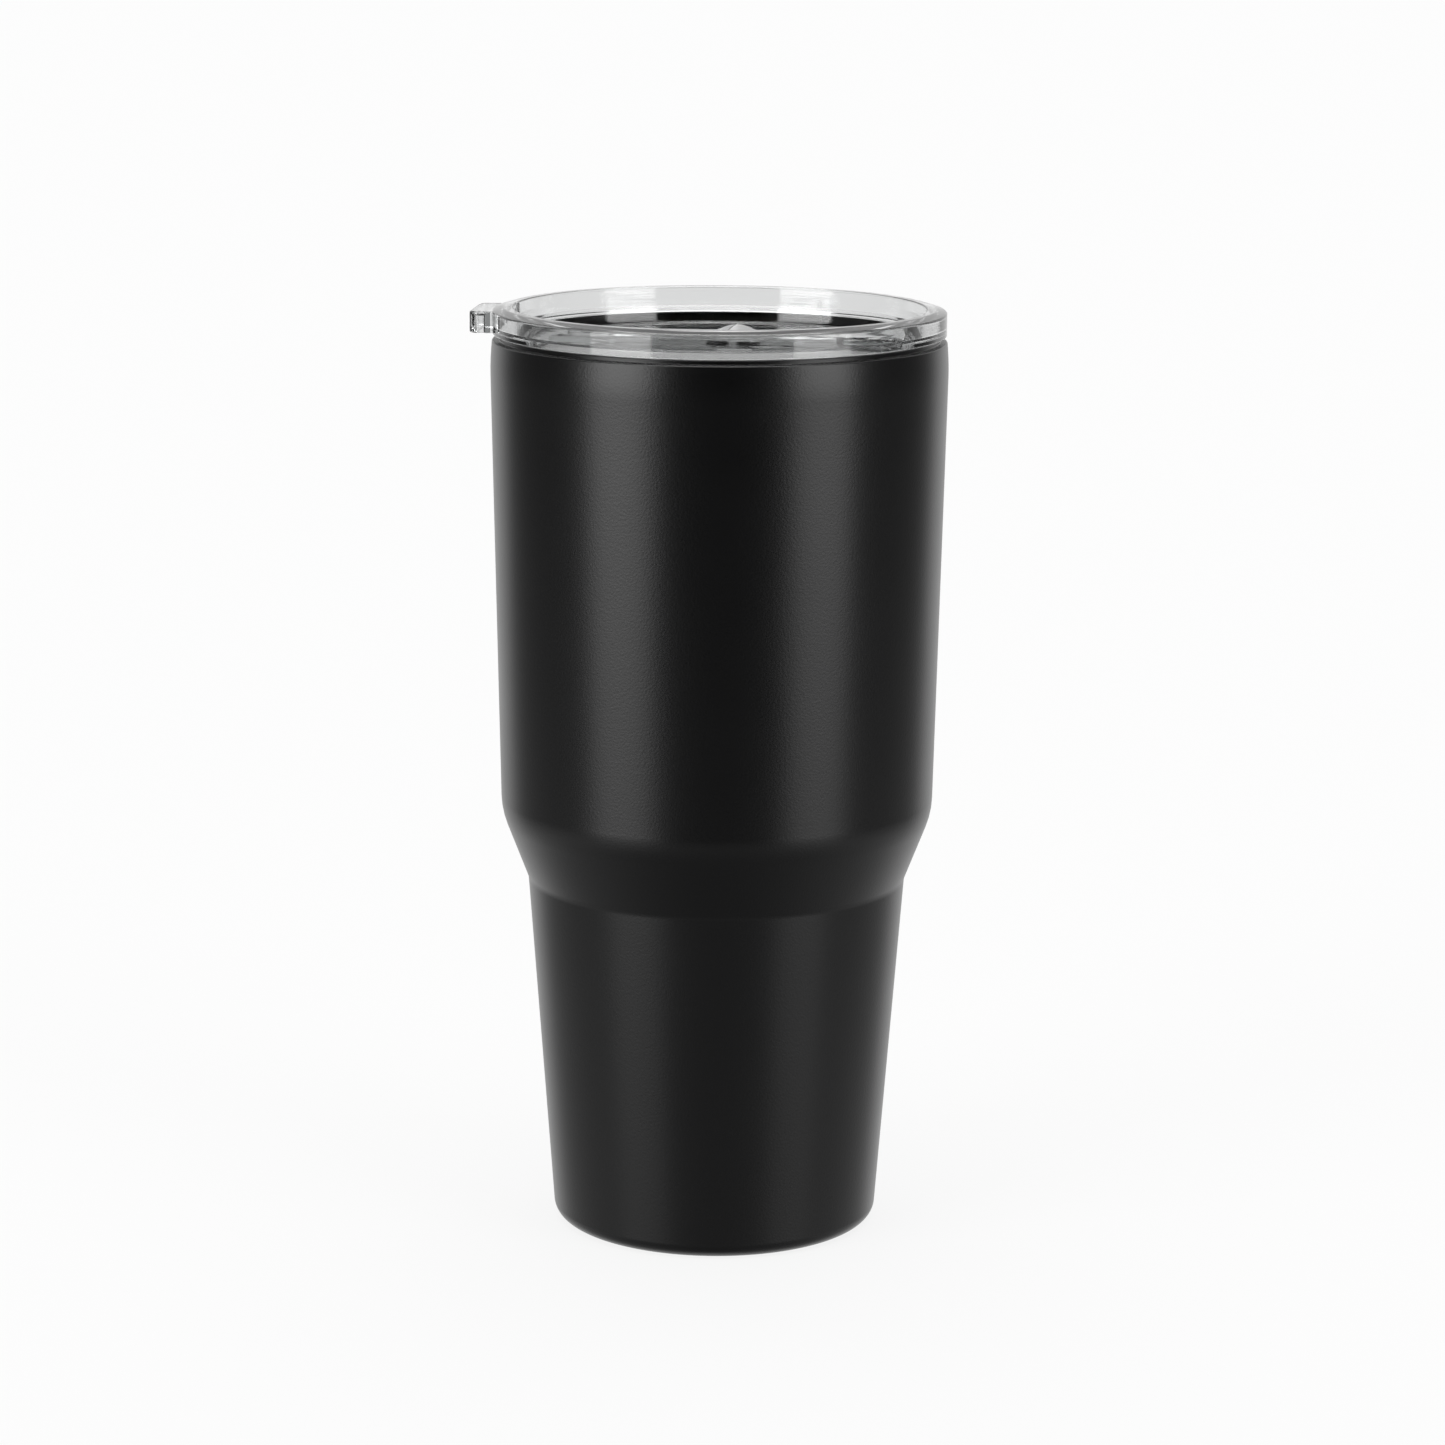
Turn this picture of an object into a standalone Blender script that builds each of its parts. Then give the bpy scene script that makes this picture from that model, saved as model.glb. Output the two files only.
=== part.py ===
"""Insulated travel tumbler with a clear sliding lid, modelled as separate pieces.

A double-walled steel cup stands on the XY plane with its axis on +Z. The clear lid plugs into its mouth.
The lid's pull tab points along -X, and the sip hole is on the +X side under the slider.
"""

import math

import bpy
from mathutils import Vector

MM = 0.001

# ---------------------------------------------------------------- driving dimensions
SEGMENTS = 48  # facets round the large turned pieces
SMALL_SEGMENTS = 20  # facets round the small ones
ARC_STEP = math.radians(31)  # an arc in an outline gets a point at least this often
TOUCH = 0.3 * MM  # gap between pieces that touch

# outer shell: radius and height of each corner of its outer face
SHELL_WALL = 0.5 * MM
LIP_R = 48.4 * MM
LIP_TOP = 200.7 * MM
SHOULDER_R, SHOULDER_Z = 50.0 * MM, 199.65 * MM
MOUTH_R, MOUTH_Z = 50.5 * MM, 195.0 * MM
STEP_TOP_R, STEP_TOP_Z = 48.2 * MM, 94.5 * MM
STEP_LOW_R, STEP_LOW_Z = 42.25 * MM, 79.2 * MM
FOOT_R = 36.25 * MM
FOOT_ROUND = 3.7 * MM
CAP_OPENING_R = 29.0 * MM

# liner: its outer face keeps this distance inside the shell's outer face
LINER_INSET = 3.0 * MM
LINER_WALL = 0.45 * MM
LINER_LIP_R = LIP_R - SHELL_WALL - TOUCH
LINER_NECK_Z = 190.0 * MM
LINER_SEAM_Z = 14.0 * MM
LINER_FLOOR_Z = 8.0 * MM

# copper wrap round the liner
WRAP_THICK = 0.1 * MM
WRAP_TOP_Z, WRAP_LOW_Z = 184.0 * MM, 22.0 * MM

# base pieces
BASE_PLATE_R = 32.0 * MM
BASE_PLATE_Z = SHELL_WALL + TOUCH
BASE_DOME_R, BASE_DOME_Z = 23.0 * MM, 2.6 * MM
DIMPLE_R, DIMPLE_Z = 2.4 * MM, 3.8 * MM
VENT_R = 0.8 * MM
CAP_THICK = 0.6 * MM
GETTER_X = 13.0 * MM
GETTER_CUP_R = 4.5 * MM
GETTER_CUP_WALL = 0.5 * MM
GETTER_CUP_HEIGHT = 2.2 * MM

# lid: the ring rests on the lip with an open gap over the shoulder, and the plug hangs inside the liner
LID_TOP = 206.8 * MM
RING_R = 49.87 * MM
RING_EDGE_Z = 206.1 * MM
RING_CROWN_R = 47.4 * MM
RING_INNER_R = 45.4 * MM
RING_LOW_Z = LIP_TOP + TOUCH
PLUG_R = 46.4 * MM
PLUG_LOW_R, PLUG_LOW_Z = 46.0 * MM, 190.4 * MM
PLUG_INNER_R = 43.6 * MM
LEDGE_R, LEDGE_Z = 44.7 * MM, 202.0 * MM
DISH_R = 44.2 * MM
LID_FLOOR_Z = 198.6 * MM
LID_FLOOR_THICK = 2.0 * MM
GROOVE_R = 44.9 * MM
GROOVE_TOP_Z, GROOVE_LOW_Z = 196.0 * MM, 192.6 * MM

TAB_REACH = 54.4 * MM
TAB_TOP_Z, TAB_LOW_Z = 205.95 * MM, 201.2 * MM
TAB_HALF_WIDTH = 9.5 * MM
TAB_CORNER = 2.5 * MM
TAB_OVERLAP = 3.0 * MM
TAB_POCKET_X = (-52.7 * MM, -50.9 * MM)
TAB_POCKET_HALF_WIDTH, TAB_POCKET_TOP_Z = 7.0 * MM, 204.9 * MM

# slider: it runs along X over the lid's floor, and rests closed
SLIDER_TRAVEL = 16.0 * MM
PLATE_LOW_Z, PLATE_TOP_Z = 199.2 * MM, 200.7 * MM
PLATE_HALF_WIDTH = 10.5 * MM
PLATE_BACK_X = -24.0 * MM
PLATE_CORNER = 4.0 * MM
PLATE_FRONT_R = 41.2 * MM
MOUND_X = 3.3 * MM
MOUND_HEIGHT = 1.7 * MM
MOUND_SINK = 0.15 * MM
MOUND_HALF_LENGTH = 7.2 * MM
MOUND_HALF_WIDTH = 6.2 * MM
POST_XS = (-2.0 * MM, 8.0 * MM)
POST_R, POST_HEAD_R = 1.6 * MM, 2.2 * MM
POST_LOW_Z, POST_HEAD_Z = 194.4 * MM, 195.0 * MM
CLIP_LOW_Z, CLIP_TOP_Z = 195.3 * MM, 196.3 * MM
CLIP_HOLE_R = POST_R + TOUCH
SLOT_HALF_WIDTH = POST_R + 0.4 * MM
RAIL_GAP, RAIL_WIDTH = 0.4 * MM, 1.2 * MM
RAIL_HALF_LENGTH, RAIL_TOP_Z = 36.0 * MM, 200.2 * MM
SIP_X = (28.5 * MM, 37.5 * MM)
SIP_HALF_WIDTH = 7.0 * MM
PAD_X = (26.2 * MM, 39.2 * MM)
PAD_HALF_WIDTH = 8.8 * MM
PAD_THICK = 0.8 * MM

# gasket in the plug's groove
GASKET_TIP_R = 46.45 * MM
GASKET_WEB_R = 45.7 * MM


# ---------------------------------------------------------------- scene, collections and materials
for old in list(bpy.data.objects):
    bpy.data.objects.remove(old)


def new_collection(name):
    made = bpy.data.collections.new(name)
    bpy.context.scene.collection.children.link(made)
    return made


PARTS = new_collection("travel_tumbler")
HELPERS = new_collection("cutters_and_additions")


def new_material(name, colour, roughness, metallic=0.0, transmission=0.0):
    made = bpy.data.materials.new(name)
    made.use_nodes = True
    shader = made.node_tree.nodes["Principled BSDF"]
    shader.inputs["Base Color"].default_value = (*colour, 1.0)
    shader.inputs["Roughness"].default_value = roughness
    shader.inputs["Metallic"].default_value = metallic
    shader.inputs["Transmission Weight"].default_value = transmission
    return made


BLACK_COAT = new_material("black_powder_coat", (0.012, 0.012, 0.013), 0.42)
STEEL = new_material("stainless_steel", (0.60, 0.59, 0.57), 0.28, metallic=1.0)
COPPER = new_material("copper_foil", (0.72, 0.34, 0.20), 0.30, metallic=1.0)
CLEAR = new_material("clear_plastic", (0.96, 0.97, 0.97), 0.03, transmission=1.0)
SILICONE = new_material("clear_silicone", (0.80, 0.81, 0.82), 0.45, transmission=0.4)
GLASS_SOLDER = new_material("glass_solder", (0.10, 0.10, 0.11), 0.15)
GETTER_GREY = new_material("getter_powder", (0.18, 0.18, 0.19), 0.85, metallic=0.4)


# ---------------------------------------------------------------- outline and modelling helpers
def rounded(corners, closed=False):
    """Points along an outline of (x, y, radius) corners, each rounded with an arc of that radius."""
    points = []
    count = len(corners)
    for i, (x, y, radius) in enumerate(corners):
        corner = Vector((x, y))
        if radius <= 0 or (not closed and i in (0, count - 1)):
            points.append(corner)
            continue
        before = Vector(corners[i - 1][:2]) - corner
        after = Vector(corners[(i + 1) % count][:2]) - corner
        half_angle = before.angle(after) / 2
        setback = radius / math.tan(half_angle)
        start = corner + before.normalized() * setback
        end = corner + after.normalized() * setback
        middle = before.normalized() + after.normalized()
        centre = corner + middle.normalized() * (radius / math.sin(half_angle))
        turn = math.pi - 2 * half_angle
        steps = math.ceil(turn / ARC_STEP)
        first, last = start - centre, end - centre
        for k in range(steps + 1):
            share = k / steps
            arm = first * math.sin((1 - share) * turn) + last * math.sin(share * turn)
            points.append(centre + arm / math.sin(turn))
    return points


def add_object(name, data, material=None, collection=PARTS):
    obj = bpy.data.objects.new(name, data)
    collection.objects.link(obj)
    if material:
        data.materials.append(material)
    if collection is HELPERS:
        obj.hide_render = True
        obj.display_type = "WIRE"
    return obj


def turned(name, corners, material, closed=False, segments=SEGMENTS):
    """A profile of (radius, height, rounding) corners, running down its outer side, turned about Z."""
    points = rounded(corners, closed)
    edges = [(i, i + 1) for i in range(len(points) - 1)]
    if closed:
        edges.append((len(points) - 1, 0))
    mesh = bpy.data.meshes.new(name)
    mesh.from_pydata([(p.x, 0, p.y) for p in points], edges, [])
    obj = add_object(name, mesh, material)
    screw = obj.modifiers.new("turn", "SCREW")
    screw.steps = screw.render_steps = segments
    screw.use_merge_vertices = True
    screw.merge_threshold = 0.00001
    return obj


def thicken(obj, thickness):
    """Gives an open turned surface its wall, on the inner side."""
    solidify = obj.modifiers.new("wall", "SOLIDIFY")
    solidify.thickness = thickness
    solidify.offset = -1
    solidify.use_even_offset = True
    return obj


def plate(name, outline, low, high, material=None, collection=PARTS):
    """A flat closed outline in XY, extruded from low to high."""
    curve = bpy.data.curves.new(name + "_outline", "CURVE")
    curve.dimensions = "2D"
    curve.fill_mode = "BOTH"
    curve.extrude = (high - low) / 2
    spline = curve.splines.new("POLY")
    spline.points.add(len(outline) - 1)
    for point, place in zip(spline.points, outline):
        point.co = (place[0], place[1], 0, 1)
    spline.use_cyclic_u = True
    return mesh_from_curve(name, curve, Vector((0, 0, (low + high) / 2)), material, collection)


def mesh_from_curve(name, curve, place, material, collection):
    """Turns a filled curve into a closed mesh object at a place."""
    guide = bpy.data.objects.new(name + "_guide", curve)
    bpy.context.scene.collection.objects.link(guide)
    graph = bpy.context.evaluated_depsgraph_get()
    mesh = bpy.data.meshes.new_from_object(guide.evaluated_get(graph))
    bpy.data.objects.remove(guide)
    mesh.name = name
    mesh.materials.clear()
    obj = add_object(name, mesh, material, collection)
    obj.location = place
    weld = obj.modifiers.new("weld", "WELD")
    weld.merge_threshold = 0.00001
    return obj


def rod(name, radius, low, high, x=0.0, segments=SMALL_SEGMENTS):
    """An upright helper cylinder."""
    bpy.ops.mesh.primitive_cylinder_add(
        vertices=segments, radius=radius, depth=high - low, location=(x, 0, (low + high) / 2)
    )
    obj = bpy.context.object
    obj.name = name
    for holder in list(obj.users_collection):
        holder.objects.unlink(obj)
    HELPERS.objects.link(obj)
    obj.hide_render = True
    obj.display_type = "WIRE"
    return obj


def join(obj, other, operation):
    boolean = obj.modifiers.new(operation.lower() + "_" + other.name, "BOOLEAN")
    boolean.operation = operation
    boolean.object = other


def smooth_shade(obj):
    if obj.data.polygons:
        obj.data.shade_smooth()
        obj.data.set_sharp_from_angle(angle=math.radians(30))
    for modifier in obj.modifiers:
        if modifier.type == "SCREW":
            modifier.use_smooth_shade = True


def block_outline(x_low, x_high, half_width, radius):
    """A rectangle symmetric about the X axis, with rounded corners."""
    corners = [
        (x_low, -half_width, radius),
        (x_high, -half_width, radius),
        (x_high, half_width, radius),
        (x_low, half_width, radius),
    ]
    return rounded(corners, closed=True)


# ---------------------------------------------------------------- steel cup
def make_outer_shell():
    corners = [
        (LIP_R, LIP_TOP, 0),
        (LIP_R, SHOULDER_Z, 0.3 * MM),
        (SHOULDER_R, SHOULDER_Z, 0.4 * MM),
        (MOUTH_R, MOUTH_Z, 60 * MM),
        (STEP_TOP_R, STEP_TOP_Z, 18 * MM),
        (STEP_LOW_R, STEP_LOW_Z, 5 * MM),
        (FOOT_R, 0, FOOT_ROUND),
        (CAP_OPENING_R, 0, 0),
    ]
    return thicken(turned("outer_shell", corners, BLACK_COAT), SHELL_WALL)


def liner_corners():
    """The liner's outer face, from its lip down to the seam with its base."""
    foot_slope = (STEP_LOW_R - FOOT_R) / STEP_LOW_Z
    seam_r = FOOT_R + foot_slope * LINER_SEAM_Z - LINER_INSET
    return [
        (LINER_LIP_R, LIP_TOP, 0),
        (MOUTH_R - LINER_INSET, LINER_NECK_Z, 20 * MM),
        (STEP_TOP_R - LINER_INSET, STEP_TOP_Z, 15 * MM),
        (STEP_LOW_R - LINER_INSET, STEP_LOW_Z, 8 * MM),
        (seam_r, LINER_SEAM_Z, 0),
    ]


def make_liner_wall():
    corners = liner_corners()
    seam_r = corners[-1][0]
    corners[-1] = (seam_r, LINER_SEAM_Z + TOUCH, 0)
    return thicken(turned("liner_wall", corners, STEEL), LINER_WALL)


def make_liner_base():
    seam_r = liner_corners()[-1][0]
    corners = [
        (seam_r, LINER_SEAM_Z, 0),
        (seam_r - 0.4 * MM, LINER_FLOOR_Z, 5.5 * MM),
        (0, LINER_FLOOR_Z, 0),
    ]
    return thicken(turned("liner_base", corners, STEEL), LINER_WALL)


def make_copper_wrap():
    """Foil wound round the liner, between two heights on its wall."""
    grow = TOUCH + WRAP_THICK
    neck, step_top, step_low, seam = liner_corners()[1:]

    def on_line(upper, lower, z):
        share = (upper[1] - z) / (upper[1] - lower[1])
        return upper[0] + (lower[0] - upper[0]) * share + grow

    corners = [
        (on_line(neck, step_top, WRAP_TOP_Z), WRAP_TOP_Z, 0),
        (step_top[0] + grow, step_top[1], 15 * MM),
        (step_low[0] + grow, step_low[1], 8 * MM),
        (on_line(step_low, seam, WRAP_LOW_Z), WRAP_LOW_Z, 0),
    ]
    return thicken(turned("copper_wrap", corners, COPPER), WRAP_THICK)


def make_outer_base():
    """Stamped disc welded over the shell's foot, domed, with a dimple round the evacuation hole."""
    corners = [
        (BASE_PLATE_R, BASE_PLATE_Z, 0),
        (BASE_DOME_R + 3 * MM, BASE_PLATE_Z, 1.5 * MM),
        (BASE_DOME_R, BASE_DOME_Z, 1.5 * MM),
        (DIMPLE_R + 1.2 * MM, BASE_DOME_Z, 0),
        (DIMPLE_R, DIMPLE_Z, 0),
        (VENT_R, DIMPLE_Z, 0),
    ]
    return thicken(turned("outer_base", corners, STEEL), SHELL_WALL)


def make_base_cap():
    cap_r = CAP_OPENING_R - TOUCH - 0.1 * MM
    corners = [(0, CAP_THICK, 0), (cap_r, CAP_THICK, 0), (cap_r, 0, 0.2 * MM), (0, 0, 0)]
    return turned("base_cap", corners, STEEL)


def make_vacuum_seal_bead():
    """Drop of glass solder that closes the evacuation hole from below."""
    bead_r, bead_low, bead_high = 1.9 * MM, 1.5 * MM, DIMPLE_Z - TOUCH
    middle = (bead_low + bead_high) / 2
    half = (bead_high - bead_low) / 2
    steps = 8
    angles = [math.pi / 2 - math.pi * k / steps for k in range(steps + 1)]
    corners = [(bead_r * math.cos(a), middle + half * math.sin(a), 0) for a in angles]
    corners[0] = (0, bead_high, 0)
    corners[-1] = (0, bead_low, 0)
    return turned("vacuum_seal_bead", corners, GLASS_SOLDER, segments=SMALL_SEGMENTS)


def make_getter():
    """A pressed getter pill in its small steel cup, on the vacuum side of the outer base."""
    cup_low = BASE_DOME_Z + SHELL_WALL + TOUCH
    cup_corners = [
        (GETTER_CUP_R, cup_low + GETTER_CUP_HEIGHT, 0),
        (GETTER_CUP_R, cup_low, 0.6 * MM),
        (0, cup_low, 0),
    ]
    cup = turned("getter_cup", cup_corners, STEEL, segments=SMALL_SEGMENTS)
    thicken(cup, GETTER_CUP_WALL)
    pill_r = GETTER_CUP_R - GETTER_CUP_WALL - TOUCH
    pill_low = cup_low + GETTER_CUP_WALL + TOUCH
    pill_high = cup_low + GETTER_CUP_HEIGHT - TOUCH
    pill_corners = [
        (0, pill_high, 0),
        (pill_r, pill_high, 0.2 * MM),
        (pill_r, pill_low, 0.2 * MM),
        (0, pill_low, 0),
    ]
    pill = turned("getter_pill", pill_corners, GETTER_GREY, segments=SMALL_SEGMENTS)
    for piece in (cup, pill):
        piece.location.x = GETTER_X


# ---------------------------------------------------------------- lid
def make_lid_body():
    """Clear dish with a thick ring over the lip, a plug with a gasket groove, and a pull tab."""
    floor_low = LID_FLOOR_Z - LID_FLOOR_THICK
    corners = [
        (0, LID_FLOOR_Z, 0),
        (DISH_R, LID_FLOOR_Z, 0.8 * MM),
        (LEDGE_R, LEDGE_Z, 0),
        (LEDGE_R + 0.4 * MM, LEDGE_Z + 0.5 * MM, 0),
        (RING_INNER_R, LID_TOP, 0.4 * MM),
        (RING_CROWN_R, LID_TOP, 0),
        (RING_R, RING_EDGE_Z, 0.5 * MM),
        (RING_R, RING_LOW_Z, 0.25 * MM),
        (PLUG_R, RING_LOW_Z, 0),
        (PLUG_R - 0.2 * MM, GROOVE_TOP_Z, 0),
        (GROOVE_R, GROOVE_TOP_Z, 0),
        (GROOVE_R, GROOVE_LOW_Z, 0),
        (PLUG_LOW_R, GROOVE_LOW_Z, 0),
        (PLUG_LOW_R - 0.1 * MM, PLUG_LOW_Z, 0.5 * MM),
        (PLUG_INNER_R, PLUG_LOW_Z, 0.3 * MM),
        (PLUG_INNER_R, floor_low, 0.8 * MM),
        (0, floor_low, 0),
    ]
    lid = turned("lid_body", corners, CLEAR)

    root_x = -RING_R + TAB_OVERLAP
    tab_corners = [
        (-TAB_REACH, TAB_HALF_WIDTH, TAB_CORNER),
        (-TAB_REACH, -TAB_HALF_WIDTH, TAB_CORNER),
        (root_x, -TAB_HALF_WIDTH, 0),
        (root_x, TAB_HALF_WIDTH, 0),
    ]
    tab_outline = rounded(tab_corners, closed=True)
    tab = plate("tab_addition", tab_outline, TAB_LOW_Z, TAB_TOP_Z, None, HELPERS)
    bevel = tab.modifiers.new("edges", "BEVEL")
    bevel.width = 0.4 * MM
    bevel.limit_method = "ANGLE"
    bevel.angle_limit = math.radians(60)
    join(lid, tab, "UNION")
    pocket_outline = block_outline(*TAB_POCKET_X, TAB_POCKET_HALF_WIDTH, 0.5 * MM)
    pocket_low = TAB_LOW_Z - MM
    tab_pocket = plate("tab_pocket_cutter", pocket_outline, pocket_low, TAB_POCKET_TOP_Z, None, HELPERS)
    join(lid, tab_pocket, "DIFFERENCE")

    rail_inner = PLATE_HALF_WIDTH + RAIL_GAP
    for side, label in ((-1, "front"), (1, "back")):
        ys = sorted((side * rail_inner, side * (rail_inner + RAIL_WIDTH)))
        corners_xy = [
            (-RAIL_HALF_LENGTH, ys[0]),
            (RAIL_HALF_LENGTH, ys[0]),
            (RAIL_HALF_LENGTH, ys[1]),
            (-RAIL_HALF_LENGTH, ys[1]),
        ]
        rail_low = LID_FLOOR_Z - 0.5 * MM
        rail = plate(f"{label}_rail_addition", corners_xy, rail_low, RAIL_TOP_Z, None, HELPERS)
        join(lid, rail, "UNION")

    through_low, through_high = floor_low - 1 * MM, LID_FLOOR_Z + 1 * MM
    sip_outline = block_outline(*SIP_X, SIP_HALF_WIDTH, 3.5 * MM)
    sip_cutter = plate("sip_cutter", sip_outline, through_low, through_high, None, HELPERS)
    join(lid, sip_cutter, "DIFFERENCE")

    slot_x = (POST_XS[0] - SLIDER_TRAVEL - SLOT_HALF_WIDTH, POST_XS[1] + SLOT_HALF_WIDTH)
    slot_outline = block_outline(*slot_x, SLOT_HALF_WIDTH, SLOT_HALF_WIDTH - 0.01 * MM)
    slot_cutter = plate("slot_cutter", slot_outline, through_low, through_high, None, HELPERS)
    join(lid, slot_cutter, "DIFFERENCE")
    return lid


def make_lid_gasket():
    """Silicone ring with two wiping lips, in the plug's groove."""
    low, high = GROOVE_LOW_Z + TOUCH, GROOVE_TOP_Z - TOUCH
    inner_r = GROOVE_R + TOUCH
    lip = 0.55 * MM
    corners = [
        (inner_r, high, 0),
        (GASKET_TIP_R, high, 0),
        (GASKET_TIP_R, high - lip, 0),
        (GASKET_WEB_R, high - 2 * lip, 0),
        (GASKET_WEB_R, low + 1.5 * lip, 0),
        (GASKET_TIP_R, low + lip, 0),
        (GASKET_TIP_R, low, 0),
        (inner_r, low, 0),
    ]
    return turned("lid_gasket", corners, SILICONE, closed=True)


# ---------------------------------------------------------------- slider
def slider_outline():
    """The slider's plan: its front end follows the dish's wall, and its back corners are rounded."""
    half_sweep = math.asin(PLATE_HALF_WIDTH / PLATE_FRONT_R)
    steps = 8
    angles = [-half_sweep + 2 * half_sweep * k / steps for k in range(steps + 1)]
    front = [(PLATE_FRONT_R * math.cos(a), PLATE_FRONT_R * math.sin(a), 0) for a in angles]
    back = [
        (PLATE_BACK_X, PLATE_HALF_WIDTH, PLATE_CORNER),
        (PLATE_BACK_X, -PLATE_HALF_WIDTH, PLATE_CORNER),
    ]
    return rounded(front + back, closed=True)


def make_mound():
    """The thumb mound on the slider: a bell in the XZ plane, drawn out along Y."""
    steps = 12
    root_z = PLATE_TOP_Z - 0.4 * MM
    outline = [(-MOUND_HALF_LENGTH, root_z), (MOUND_HALF_LENGTH, root_z)]
    for k in range(steps + 1):
        share = 1 - 2 * k / steps
        rise = (MOUND_HEIGHT + MOUND_SINK) * 0.5 * (1 + math.cos(math.pi * share))
        outline.append((MOUND_HALF_LENGTH * share, PLATE_TOP_Z - MOUND_SINK + rise))
    mound = plate("mound_addition", outline, -MOUND_HALF_WIDTH, MOUND_HALF_WIDTH, None, HELPERS)
    mound.rotation_euler = (math.pi / 2, 0, 0)
    mound.location = (MOUND_X, 0, 0)
    return mound


def make_slider():
    plate_obj = plate("slider_plate", slider_outline(), PLATE_LOW_Z, PLATE_TOP_Z, CLEAR)
    join(plate_obj, make_mound(), "UNION")
    for i, x in enumerate(POST_XS):
        post_low = (POST_LOW_Z + POST_HEAD_Z) / 2
        post = rod(f"post_{i}_addition", POST_R, post_low, PLATE_LOW_Z + 0.5 * MM, x)
        head = rod(f"head_{i}_addition", POST_HEAD_R, POST_LOW_Z, POST_HEAD_Z, x)
        join(plate_obj, post, "UNION")
        join(plate_obj, head, "UNION")

    pad_low = LID_FLOOR_Z + TOUCH
    pad_high = pad_low + PAD_THICK
    pocket_x = (PAD_X[0] - TOUCH, PAD_X[1] + TOUCH)
    pocket_outline = block_outline(*pocket_x, PAD_HALF_WIDTH + TOUCH, 3.8 * MM)
    pocket = plate("pad_pocket_cutter", pocket_outline, pad_low, pad_high + TOUCH, None, HELPERS)
    join(plate_obj, pocket, "DIFFERENCE")
    plate("slider_seal", block_outline(*PAD_X, PAD_HALF_WIDTH, 3.5 * MM), pad_low, pad_high, SILICONE)

    clip_outline = block_outline(POST_XS[0] - 6 * MM, POST_XS[1] + 6 * MM, 4.5 * MM, 3 * MM)
    clip = plate("slider_clip", clip_outline, CLIP_LOW_Z, CLIP_TOP_Z, CLEAR)
    for i, x in enumerate(POST_XS):
        hole = rod(f"clip_hole_{i}_cutter", CLIP_HOLE_R, CLIP_LOW_Z - MM, CLIP_TOP_Z + MM, x)
        join(clip, hole, "DIFFERENCE")


make_outer_shell()
make_outer_base()
make_base_cap()
make_vacuum_seal_bead()
make_getter()
make_liner_wall()
make_liner_base()
make_copper_wrap()
make_lid_body()
make_lid_gasket()
make_slider()
for part in PARTS.objects:
    smooth_shade(part)
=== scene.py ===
"""The looks of the insulated travel tumbler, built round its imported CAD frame.

Every visible CAD solid is replaced by a fine mesh of the same size in the same place. The hidden
vacuum parts keep their CAD meshes and get better materials. Lengths are in metres in the frame's own
axes: +Z up, the lid's tab at -X. The order is sizes, helpers, materials, pieces, stage.
"""

import math

import bmesh
import bpy
from mathutils import Matrix, Vector


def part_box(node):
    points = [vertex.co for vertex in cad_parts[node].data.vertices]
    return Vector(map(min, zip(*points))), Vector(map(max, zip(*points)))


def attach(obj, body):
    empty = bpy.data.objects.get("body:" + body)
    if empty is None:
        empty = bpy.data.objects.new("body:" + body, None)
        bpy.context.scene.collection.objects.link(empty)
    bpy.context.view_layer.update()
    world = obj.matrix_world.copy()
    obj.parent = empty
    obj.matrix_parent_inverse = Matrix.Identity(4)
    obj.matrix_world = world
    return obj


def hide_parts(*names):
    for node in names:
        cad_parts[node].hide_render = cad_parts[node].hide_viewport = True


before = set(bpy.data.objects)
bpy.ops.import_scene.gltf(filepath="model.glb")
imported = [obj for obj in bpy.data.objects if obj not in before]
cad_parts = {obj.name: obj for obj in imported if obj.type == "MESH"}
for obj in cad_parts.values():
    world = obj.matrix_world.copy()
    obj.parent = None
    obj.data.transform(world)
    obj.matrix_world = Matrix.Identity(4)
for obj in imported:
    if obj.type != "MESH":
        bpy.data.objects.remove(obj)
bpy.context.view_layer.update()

MM = 0.001

# ---------------------------------------------------------------- sizes read from the frame
_, SHELL_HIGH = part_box("outer_shell")
_, LINER_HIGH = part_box("liner_wall")
LINER_BASE_LOW, LINER_BASE_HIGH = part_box("liner_base")
LID_LOW, LID_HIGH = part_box("lid_body")
GASKET_LOW, GASKET_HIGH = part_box("lid_gasket")
SLIDER_LOW, SLIDER_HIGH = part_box("slider_plate")
SEAL_LOW, SEAL_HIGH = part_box("slider_seal")
CLIP_LOW, CLIP_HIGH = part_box("slider_clip")
_, CAP_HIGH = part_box("base_cap")

# ---------------------------------------------------------------- sizes of the turned outlines
FINE_TURN = 256  # facets round the large turned pieces
ARC_STEP = math.radians(7)  # an arc in an outline gets a point at least this often

MOUTH_R = SHELL_HIGH.x
MOUTH_Z = 195.0 * MM
LIP_R, LIP_TOP = 48.4 * MM, SHELL_HIGH.z
SHOULDER_R, SHOULDER_Z = 50.0 * MM, 199.65 * MM
STEP_TOP_R, STEP_TOP_Z = 48.2 * MM, 94.5 * MM
STEP_LOW_R, STEP_LOW_Z = 42.25 * MM, 79.2 * MM
FOOT_R, FOOT_ROUND = 36.25 * MM, 3.7 * MM
CAP_OPENING_R = 29.0 * MM
SHELL_WALL = 0.5 * MM
CAP_RING_OUTER_R, CAP_RING_INNER_R = 24.0 * MM, 19.0 * MM
CAP_RING_SLOPE, CAP_RING_DEPTH = 0.4 * MM, 0.12 * MM

LINER_INSET, LINER_WALL = 3.0 * MM, 0.45 * MM
LINER_LIP_R = LINER_HIGH.x
LINER_NECK_Z = 190.0 * MM
LINER_SEAM_Z = LINER_BASE_HIGH.z
LINER_SEAM_R = LINER_BASE_HIGH.x
COAT_THICK, COAT_LOW_Z = 0.1 * MM, 196.5 * MM
COAT_GAP = 0.15 * MM  # between the liner and the coat that is carried over its lip
MOUTH_INNER_R = LINER_LIP_R - LINER_WALL - COAT_GAP

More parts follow.
